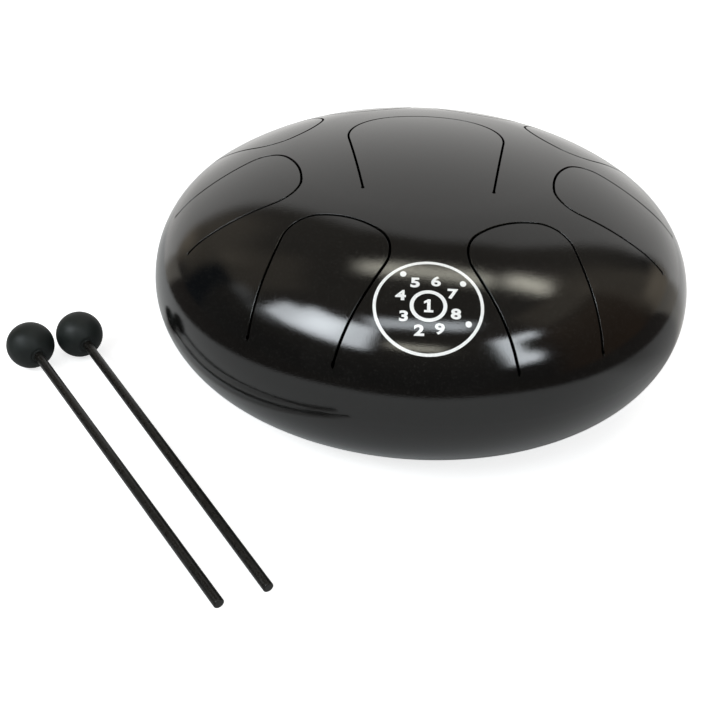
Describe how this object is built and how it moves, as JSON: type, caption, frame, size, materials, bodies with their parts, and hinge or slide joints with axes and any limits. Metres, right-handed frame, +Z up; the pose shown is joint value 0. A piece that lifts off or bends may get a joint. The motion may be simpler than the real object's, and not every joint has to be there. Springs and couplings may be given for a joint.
{
  "type": "steel tongue drum",
  "caption": "Saucer-shaped steel tongue drum with a long middle tongue inside a ring of shorter ones, on rubber feet, beside its rubber-headed mallets.",
  "frame": {"origin": "the point of the table plane under the drum's axis", "axes": "+Z up along the drum's axis; +X to the player's right; -Y towards the player, where the note chart is"},
  "size_m": [0.3918, 0.3731, 0.1335],
  "materials": {
    "drum_paint": "gloss black over fine metallic flake",
    "chart_print": "flat white print",
    "trim_rubber": "satin black",
    "foot_rubber": "matt black",
    "fastener_steel": "zinc plated",
    "stick_plastic": "satin black",
    "head_rubber": "matt dark grey"
  },
  "bodies": {
    "drum": {"upper_shell": "drum_paint", "lower_shell": "drum_paint", "rim_weld": "drum_paint", "sound_hole_trim": "trim_rubber", "note_chart": "chart_print", "foot_front_left": "foot_rubber", "foot_front_right": "foot_rubber", "foot_back_left": "foot_rubber", "foot_back_right": "foot_rubber", "foot_screws": "fastener_steel", "foot_washers": "fastener_steel", "foot_nuts": "fastener_steel"},
    "center_tongue": {"tongue_center": "drum_paint"},
    "front_left_tongue": {"tongue_front_left": "drum_paint"},
    "front_right_tongue": {"tongue_front_right": "drum_paint"},
    "left_tongue": {"tongue_left": "drum_paint"},
    "right_tongue": {"tongue_right": "drum_paint"},
    "rear_left_tongue": {"tongue_rear_left": "drum_paint"},
    "rear_right_tongue": {"tongue_rear_right": "drum_paint"},
    "back_left_tongue": {"tongue_back_left": "drum_paint"},
    "back_right_tongue": {"tongue_back_right": "drum_paint"},
    "mallet_left": {"mallet_left_stick": "stick_plastic", "mallet_left_head": "head_rubber"},
    "mallet_right": {"mallet_right_stick": "stick_plastic", "mallet_right_head": "head_rubber"}
  },
  "joints": [
    {"name": "center_tongue_flex", "type": "hinge", "parent": "drum", "child": "center_tongue", "pos_m": [0, -0.0515, 0.12932], "axis": [1, 0, 0], "range_deg": [-0.5, 0.5], "stiffness_Nm_per_rad": 40},
    {"name": "front_left_tongue_flex", "type": "hinge", "parent": "drum", "child": "front_left_tongue", "pos_m": [-0.06378, -0.13078, 0.08209], "axis": [0.8988, -0.4384, 0], "range_deg": [-0.5, 0.5], "stiffness_Nm_per_rad": 20},
    {"name": "front_right_tongue_flex", "type": "hinge", "parent": "drum", "child": "front_right_tongue", "pos_m": [0.06378, -0.13078, 0.08209], "axis": [0.8988, 0.4384, 0], "range_deg": [-0.5, 0.5], "stiffness_Nm_per_rad": 20},
    {"name": "left_tongue_flex", "type": "hinge", "parent": "drum", "child": "left_tongue", "pos_m": [-0.12945, -0.04331, 0.09498], "axis": [0.3173, -0.9483, 0], "range_deg": [-0.5, 0.5], "stiffness_Nm_per_rad": 20},
    {"name": "right_tongue_flex", "type": "hinge", "parent": "drum", "child": "right_tongue", "pos_m": [0.12945, -0.04331, 0.09498], "axis": [0.3173, 0.9483, 0], "range_deg": [-0.5, 0.5], "stiffness_Nm_per_rad": 20},
    {"name": "rear_left_tongue_flex", "type": "hinge", "parent": "drum", "child": "rear_left_tongue", "pos_m": [-0.11743, 0.06244, 0.09845], "axis": [-0.4695, -0.8829, 0], "range_deg": [-0.5, 0.5], "stiffness_Nm_per_rad": 20},
    {"name": "rear_right_tongue_flex", "type": "hinge", "parent": "drum", "child": "rear_right_tongue", "pos_m": [0.11743, 0.06244, 0.09845], "axis": [-0.4695, 0.8829, 0], "range_deg": [-0.5, 0.5], "stiffness_Nm_per_rad": 20},
    {"name": "back_left_tongue_flex", "type": "hinge", "parent": "drum", "child": "back_left_tongue", "pos_m": [-0.04658, 0.12458, 0.09845], "axis": [-0.9367, -0.3502, 0], "range_deg": [-0.5, 0.5], "stiffness_Nm_per_rad": 20},
    {"name": "back_right_tongue_flex", "type": "hinge", "parent": "drum", "child": "back_right_tongue", "pos_m": [0.04658, 0.12458, 0.09845], "axis": [-0.9367, 0.3502, 0], "range_deg": [-0.5, 0.5], "stiffness_Nm_per_rad": 20},
    {"name": "mallet_left_lift", "type": "slide", "parent": "drum", "child": "mallet_left", "axis": [0, 0, 1], "range_m": [0, 0.2]},
    {"name": "mallet_right_lift", "type": "slide", "parent": "drum", "child": "mallet_right", "axis": [0, 0, 1], "range_m": [0, 0.2]}
  ]
}
